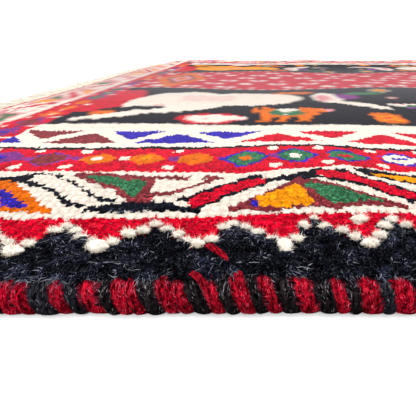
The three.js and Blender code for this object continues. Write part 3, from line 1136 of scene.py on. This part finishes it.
# The near side's wraps in the photographed stretch, millimetres, a red one first
STRETCH_FROM = 30
STRETCH_TO = 86
NEAR_WIDTHS = (
    4.4, 3.2, 4.6, 3.1, 4.2, 3.3, 4.5, 3.2, 4.4, 3.2, 4.3, 3.2, 7.5, 4.9, 3.8, 3.3, 4.8, 2.9, 6.3, 4.2,
    6.9, 4.2, 3.5, 3.1, 4.0, 2.6, 3.7, 4.0, 4.9, 4.0, 3.1, 3.3, 4.6, 3.0, 5.0, 3.3, 4.5, 3.4, 4.4, 3.3,
    4.6, 3.2, 4.4, 3.4, 4.3, 2.8,
)
near_widths = np.array(NEAR_WIDTHS) / 1000
near_wraps, near_lay = wraps("overcast_near", 0, STRETCH_FROM * KNOT_LENGTH, near_widths, 18, 20, 1.0)


def plain_wraps(name, side, first, last, steps, seed):
    return wraps(name, side, first * KNOT_LENGTH, plain_widths(first, last), 6, steps, seed)[0]


near_left_wraps = plain_wraps("overcast_near_left", 0, 0, STRETCH_FROM, 8, 2.0)
near_right_wraps = plain_wraps("overcast_near_right", 0, STRETCH_TO, KNOTS_LONG, 7, 3.0)
far_wraps = plain_wraps("overcast_far", 1, 0, KNOTS_LONG, 7, 4.0)


# Outer warps inside the wraps, painted dark maroon as the shade in the gaps between the wraps
CORE_SHADOW_TONE = (0.045, 0.004, 0.008)
CORE_SUNK = 0.0006
along = np.linspace(0, KNOTS_LONG, 184)[None]
cores = []
for side, name in enumerate(("warps_near", "warps_far")):
    level, top = (side_place(side, along, 0 * along + turn) for turn in (0, math.pi / 2))
    lines = (level + top) / 2
    lines[..., 2] = level[..., 2]
    across, away = (np.broadcast_to(way, lines.shape) for way in ((0.0, 1.0, 0.0), (0.0, 0.0, 1.0)))
    wide, thick = 0 * along + SIDE_WIDTH / 2 - CORE_SUNK, level[..., 2] - CORE_SUNK
    cores.append(swept(name, lines, across, away, wide, thick, 10, np.array(CORE_SHADOW_TONE), 9.0))


def wound_yarn(start):
    """Thick yarn: strands along each wrap with a slow twist, with painted highlights pinker on their crests and
    painted shade dark between them and towards the bottom.
    """
    spot = start.add("UVMap", {"uv_map": "twist"})
    slant = part(start, spot, 0) * 6.0 + part(start, spot, 1) * 1.3
    strand = 0.5 + 0.5 * start.sum("SINE", slant * 2 * math.pi)
    drawn = start.add("Mapping", {}, {"Vector": spot, "Scale": (60.0, 6.0, 1.0)})
    fibre = speckle(start, drawn, 1.0, 3.0)
    place = place_on(start)
    lump = speckle(start, place, 900.0)
    curl = start.sum("ABSOLUTE", speckle(start, drawn, 0.45, 1.0) - 0.5)
    curl = ranged(start, curl, 0.0, 0.022, 1.0, 0.0) * ranged(start, lump, 0.42, 0.60)
    height = 0.10 * strand + 0.62 * fibre + 0.30 * lump
    # Painted highlight on the strands' crests, painted shade between them
    light = dye(start, 2.9, 2.9, 2.9).mixed(0.008, (0.60, 0.30, 0.38, 1))
    # Painted highlight: lighter lines of curly fibres
    pale = dye(start, 2.6, 2.6, 2.6).mixed(1.0, (0.040, 0.030, 0.036, 1), "ADD")
    # Painted shade: the wraps darker towards their bottom
    low = ranged(start, part(start, place, 2), 0.0, 0.0085, 0.12, 1.0)
    crests = ranged(start, height, 0.455, 0.63) * low
    colour = dye(start, 0.08, 0.04, 0.05).mixed(crests, light).mixed(curl * low, pale)
    return colour, 0.8 + 0.15 * fibre, ridged(start, height, 0.0009)


bound_wool = wool_material("wound_yarn", wound_yarn)

# Ends of red yarn that were drawn over the pile's rim: place in knots, reach along and towards the edge, half
# thickness
LOOPS = (
    (59.0, 1.15, 0.0068, 0.0062, 0.0010),
    (58.8, 1.45, 0.0060, 0.0056, 0.0008),
    (58.05, -1.35, 0.0045, 0.0048, 0.0006),
    (57.8, -1.45, 0.0040, 0.0044, 0.0005),
    (61.0, -1.4, 0.0010, 0.0050, 0.0007),
    (60.7, -1.5, 0.0012, 0.0046, 0.0006),
)
share = np.linspace(-1, 1, 10)
u, v, reach, drop, half = np.array(LOOPS).T[..., None]
u, v = u + reach / 2 * share / KNOT_LENGTH, v - drop / 2 * share / KNOT_WIDTH
x, y = on_cloth(u, v)
z = np.minimum(pile_face(u, np.maximum(v, -SIDE_REACH)), 0.0104) + 0.0007 - 0.0013 * share ** 6
lines = np.stack([x, y + 0.0006 * (1 - share ** 2), z], -1)
across, away = framed(lines, (0.0, 0.0, 1.0))[1:]
half = half * np.sqrt(np.clip(1.02 - share ** 2, 0.04, 1))
red_loops = swept("red_loops", lines, across, away, half, half * 0.8, 8, np.array(RED_WRAP) * 1.15, 2.0)
red_loops.data.materials.append(bound_wool)

# Fibres along those wraps: most lie on the yarn, a few stand off it. Pale ones, more of them high on the wraps,
# are painted highlights.
FUZZ = 22000
lay_lines, lay_flow, lay_across, lay_away, lay_wide, lay_deep, lay_dyes = near_lay
wrap = dice.integers(10, len(lay_lines) - 11, FUZZ)
step = dice.integers(7, lay_lines.shape[1] - 1, FUZZ)
between = dice.random((FUZZ, 1))
angle = dice.uniform(-1.35, 1.35, FUZZ)
lower, upper = lay_lines[wrap, step - 1], lay_lines[wrap, step]
across, away = lay_across[wrap, step], lay_away[wrap, step]
out = across * (np.sin(angle) * lay_wide[wrap, step])[:, None]
out = out + away * (np.cos(angle) * lay_deep[wrap, step] * 0.97)[:, None]
roots = lower + (upper - lower) * between + out
loose = dice.random(FUZZ) > 0.93
rise = np.where(loose, 0.9, 0.14) * dice.uniform(0.3, 1.2, FUZZ)
sway = dice.normal(0, 0.45, (FUZZ, 1)) + 0.25
way = one_long(lay_flow[wrap, step] + across * sway + away * rise[:, None])
bend = dice.normal(0, 0.12, (FUZZ, 3)) - away * 0.12
red = lay_dyes[wrap, 0] > 0.1
fuzz_dye_and_glint = lay_dyes[wrap] * dice.lognormal(0.15, 0.85, (FUZZ, 1))
# Painted highlights: pale fibres, more of them high on the wraps
pale = dice.random(FUZZ) > np.where(roots[:, 2] > 0.0065, 0.80, 0.93)
pale_tones = ((pale & red, (0.66, 0.085, 0.14), 0.6, 1.1), (pale & ~red, (0.190, 0.172, 0.195), 0.3, 1.4))
for where, tone, least, most in pale_tones:
    fuzz_dye_and_glint[where] = np.array(tone) * dice.uniform(least, most, (where.sum(), 1))
length, width = dice.uniform(0.0005, 0.0015, FUZZ), dice.uniform(0.00008, 0.00016, FUZZ)
side_fuzz = hairs("overcast_fuzz", roots, way, bend, length, width, fuzz_dye_and_glint)
side_fuzz.data.materials.append(fibre_wool)

for piece in (near_wraps, near_left_wraps, near_right_wraps, far_wraps, *cores, red_loops, side_fuzz):
    if not piece.data.materials:
        piece.data.materials.append(bound_wool)
    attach(piece, "root")
for piece in (near_wraps, near_left_wraps, near_right_wraps, cores[0]):
    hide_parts("selvedge_near")
for piece in (far_wraps, cores[1]):
    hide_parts("selvedge_far")


# ENDS
# Beyond the last knots the warps are woven plain with ivory weft for 11 mm, then left as fringe: bundles of
# warp ends, two strands twisted together in each, thinner towards their tips and a little frayed.
STRIP_WIDTH = 0.011
STRIP_THICKNESS = 0.003
STRIP_REACH = 0.007
STRIP_GAP = 0.0003
STRIP_STEPS = 460
WEFT_ROWS = 6
IVORY_WARP = (0.58, 0.54, 0.47)


def end_edge(end, place):
    """Edge of the last knots of one end, at places across the rug; past its corners it runs straight."""
    inside = np.clip(place, -HALF_ACROSS, HALF_ACROSS)
    x, y = on_cloth(0 if end < 0 else KNOTS_LONG, (inside / HALF_ACROSS + 1) * KNOTS_ACROSS / 2)
    return x, y + place - inside


def plain_strip(name, end):
    """Plain weave of one end, -1 for the left one and 1 for the right one, its weft in ridges."""
    reach = HALF_ACROSS + STRIP_REACH
    edge_x, edge_y = end_edge(end, np.linspace(-reach, reach, STRIP_STEPS))
    top = np.linspace(0, 1, 2 * WEFT_ROWS + 1)
    ridge = np.abs(np.sin(top * math.pi * WEFT_ROWS))
    over = np.where(np.floor(top * WEFT_ROWS) % 2, 1, -1)
    weave = 0.5 + 0.5 * np.sin(np.arange(STRIP_STEPS) * 2.1)[:, None] * over
    face = STRIP_THICKNESS - 0.0011 + 0.0007 * ridge + 0.0004 * weave
    height = np.concatenate([face, np.full(face.shape, 0.0001)], axis=1)
    x = edge_x[:, None] + end * (STRIP_GAP + np.concatenate([top, top[::-1]]) * STRIP_WIDTH)
    points = np.stack([x, edge_y[:, None] + 0 * x, height], -1).reshape(-1, 3)
    faces, spots = tube(STRIP_STEPS, 2 * len(top))
    spots = spots * (0.9, (STRIP_STEPS - 1) / STRIP_STEPS)
    lids = len(faces) - len(spots)
    lid_spots = SQUARE * (0.07, 0.03) + (0.92, 0.0) + np.arange(lids)[:, None, None] * (0.0, 0.95 / lids)
    cells = np.concatenate([spots, lid_spots])
    if end > 0:
        faces, cells = faces[:, ::-1], cells[:, ::-1]
    dyes = np.array(IVORY_WARP) * dice.uniform(0.88, 1.08, (len(faces), 1))
    return wool_mesh(name, points, faces, dyes, cells)


# Fringe as the solid lays it, its locks varying in length, lean and curl by their number
LOCKS_AN_END = 112
LOCK_LENGTH = 0.042
LOCK_SPREAD = 0.005
LOCK_SWAY = 0.0013
LOCK_WIDTH = 0.0036
LOCK_ROOT = 0.0015
LOCK_STEPS = 8


def lock_sway(number, kind):
    """A steady uneven value from -1 to 1 for each lock, as on the solid."""
    return np.sin(number * 2.399 + kind * 1.7) * np.cos(number * 0.731 + kind * 4.1)


def warp_locks(name, end):
    """Fringe of one end, two twisted strands to a lock."""
    number = np.arange(LOCKS_AN_END)[:, None]
    reach = HALF_ACROSS + STRIP_REACH - LOCK_WIDTH
    edge_x, edge_y = end_edge(end, reach * ((2 * number + 1) / LOCKS_AN_END - 1))
    length = LOCK_LENGTH + LOCK_SPREAD * lock_sway(number, end + 2) + LOCK_ROOT
    lean, curl = LOCK_SWAY * lock_sway(number, end + 5), LOCK_SWAY * lock_sway(number, end + 9)
    share = np.linspace(0, 1, LOCK_STEPS)[None]
    x = edge_x + end * (STRIP_GAP + STRIP_WIDTH - LOCK_ROOT + share * length)
    y = edge_y + lean * share + curl * np.sin(share * math.pi)
    z = 0.0011 * (1 - 0.35 * share * share)
    apart = 0.00085 * (1 - 0.3 * share)
    lines = []
    for strand in (0, 1):
        angle = share * 9.0 + strand * math.pi + number * 1.9
        lines.append(np.stack([x, y + np.cos(angle) * apart, z + 0.3 * np.sin(angle) * apart], -1))
    lines = np.concatenate(lines)
    across, away = framed(lines, (0.0, 0.0, 1.0))[1:]
    wide = np.broadcast_to(0.00095 * (1 - 0.35 * share ** 3), lines.shape[:2])
    dyes = np.array(IVORY_WARP) * dice.uniform(0.85, 1.1, (len(lines), 1))
    return swept(name, lines, across, away, wide, wide * 0.85, 4, dyes, 6.0)


def twisted_warp(start):
    """Undyed wool warp: plies at a slant, fine fibres, with painted shade slightly darker between the plies."""
    place = place_on(start)
    slant = part(start, place, 0) * 420.0 + part(start, place, 1) * 640.0
    fibre = speckle(start, place, 2600.0, 3.0)
    height = 0.5 * (0.5 + 0.5 * start.sum("SINE", slant * 2 * math.pi)) + 0.5 * fibre
    # Painted shade: the warp's dye darker where the plies are low
    colour = dye(start, 0.62, 0.57, 0.50).mixed(height, dye(start))
    return colour, 0.82 + 0.14 * fibre, ridged(start, height, 0.0004)


warp_wool = wool_material("twisted_warp", twisted_warp)
for end, node in ((-1, "fringe_left"), (1, "fringe_right")):
    side_name = node.split("_")[1]
    for piece in (plain_strip("end_strip_" + side_name, end), warp_locks("fringe_locks_" + side_name, end)):
        piece.data.materials.append(warp_wool)
        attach(piece, "root")
        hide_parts(node)


# STAGE
# A plain pale floor under soft light from above, and the camera low over the near long side as in the photo.
bpy.ops.mesh.primitive_plane_add(size=8, location=(0, 0, -0.0002))
floor = bpy.context.object
floor.name = "floor"


def pale_floor(start):
    grain = speckle(start, place_on(start), 60.0)
    tones = {0: grain, 6: (0.90, 0.90, 0.90, 1), 7: (0.92, 0.92, 0.92, 1)}
    colour = start.add("Mix", {"data_type": "RGBA"}, tones, 2)
    return colour, 0.9 + 0.02 * grain, ridged(start, grain, 0.0001, 0.1)


floor.data.materials.append(wool_material("pale_floor", pale_floor))

world = bpy.context.scene.world or bpy.data.worlds.new("studio")
bpy.context.scene.world = world
world.use_nodes = True
sky = world.node_tree.nodes["Background"].inputs
sky["Color"].default_value = (1, 1, 1, 1)
sky["Strength"].default_value = 1.5


def soft_light(name, place, aim, size, power):
    lamp = bpy.data.lights.new(name, "AREA")
    lamp.shape = "SQUARE"
    lamp.size = size
    lamp.energy = power
    holder = bpy.data.objects.new(name, lamp)
    holder.location = place
    holder.rotation_euler = (Vector(aim) - Vector(place)).to_track_quat("-Z", "Y").to_euler()
    bpy.context.collection.objects.link(holder)


soft_light("overhead_light", (-0.4, -0.1, 2.0), (-0.2, -0.2, 0), 2.0, 44)
soft_light("front_light", (-0.2, -2.2, 1.3), (-0.2, 0, 0), 1.6, 38)

camera_data = bpy.data.cameras.new("camera")
camera_data.lens = 26.47
camera_data.sensor_width = 36
camera_data.shift_x = -0.0748
camera_data.clip_start = 0.003
camera_data.clip_end = 30
camera = bpy.data.objects.new("camera", camera_data)
# It stands 20 cm from the left end, 6 cm before the near side's last knots and as far up
near_x, near_y = on_cloth(0.2015 / KNOT_LENGTH, 0.0)
camera.location = (near_x, near_y - 0.0587, 0.0586)
camera.rotation_euler = (math.radians(90 - 29.06), 0, math.radians(0.73))
bpy.context.collection.objects.link(camera)
bpy.context.scene.camera = camera
bpy.context.scene.view_settings.view_transform = "Standard"
